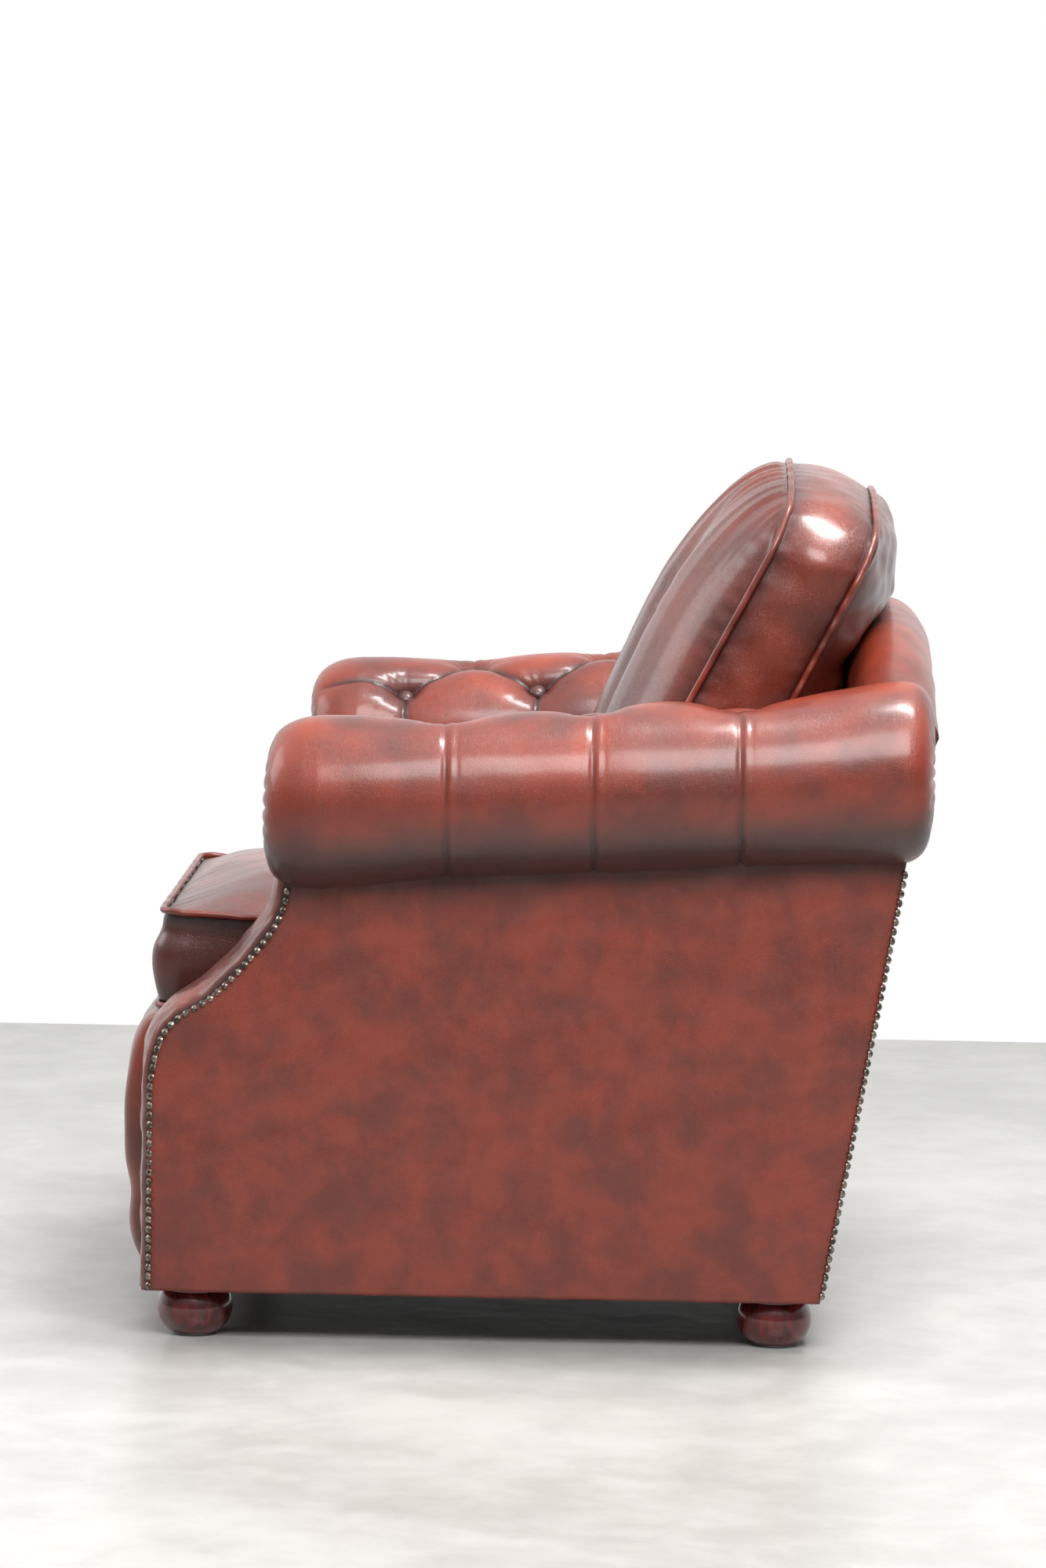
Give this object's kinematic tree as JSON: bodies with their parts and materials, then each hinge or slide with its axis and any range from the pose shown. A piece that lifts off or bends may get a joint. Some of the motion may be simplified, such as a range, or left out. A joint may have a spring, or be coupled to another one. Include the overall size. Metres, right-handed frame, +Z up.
{
  "type": "armchair",
  "caption": "Upholstered club armchair with thick rolled, buttoned arms, a loose boxed seat cushion, a loose gathered back pillow, a nailed swept arm front and bun feet.",
  "frame": {"origin": "on the floor, under the middle of the chair's bounding box", "axes": "+Z up, the sitter faces -Y, +X is the sitter's left; X is the chair's width"},
  "size_m": [1.0002, 0.9444, 1.013],
  "materials": {
    "leather": "antique two-tone, satin",
    "piping": "satin",
    "buttons": "satin",
    "nails": "antique",
    "feet": "gloss",
    "frame_wood": "plain",
    "steel": "zinc plated",
    "cloth": "woven",
    "foam": "open cell",
    "cushion_core": "open cell"
  },
  "bodies": {
    "chair": {"arm_battens": "frame_wood", "arm_buttons": "buttons", "arm_facing_left": "leather", "arm_facing_piping": "piping", "arm_facing_right": "leather", "arm_front_nails": "nails", "arm_inner_board_left": "frame_wood", "arm_inner_board_right": "frame_wood", "arm_outer_board_left": "frame_wood", "arm_outer_board_right": "frame_wood", "arm_roll_foam_left": "foam", "arm_roll_foam_right": "foam", "arm_roll_leather_left": "leather", "arm_roll_leather_right": "leather", "arm_scroll_discs": "frame_wood", "arm_top_rails": "frame_wood", "back_foam": "foam", "back_lower_rail": "frame_wood", "back_nails": "nails", "back_posts": "frame_wood", "back_roll_foam": "foam", "back_roll_leather": "leather", "back_top_rail": "frame_wood", "back_webbing": "cloth", "corner_blocks": "frame_wood", "dust_cover": "cloth", "foot_bolts": "steel", "foot_front_left": "feet", "foot_front_right": "feet", "foot_glides": "steel", "foot_rear_left": "feet", "foot_rear_right": "feet", "front_border_buttons": "buttons", "front_border_foam": "foam", "front_border_leather": "leather", "front_rail": "frame_wood", "inside_arm_foam_left": "foam", "inside_arm_foam_right": "foam", "inside_arm_leather_left": "leather", "inside_arm_leather_right": "leather", "inside_back_leather": "leather", "outside_arm_leather_left": "leather", "outside_arm_leather_right": "leather", "outside_back_leather": "leather", "rear_rail": "frame_wood", "seat_deck": "foam", "seat_springs": "steel", "side_rails": "frame_wood", "spring_clips": "steel", "spring_rail": "frame_wood", "tee_nuts": "steel"},
    "seat_cushion": {"seat_cushion_core": "cushion_core", "seat_cushion_cover": "leather", "seat_cushion_piping": "piping"},
    "back_pillow": {"back_pillow_buttons": "buttons", "back_pillow_core": "cushion_core", "back_pillow_cover": "leather", "back_pillow_piping": "piping"}
  },
  "joints": [
    {"name": "seat_cushion_slide", "type": "slide", "parent": "chair", "child": "seat_cushion", "axis": [0, -0.9986, 0.0523], "range_m": [0, 0.7]},
    {"name": "back_pillow_lift", "type": "slide", "parent": "chair", "child": "back_pillow", "axis": [0, 0, 1], "range_m": [0, 0.55]}
  ]
}
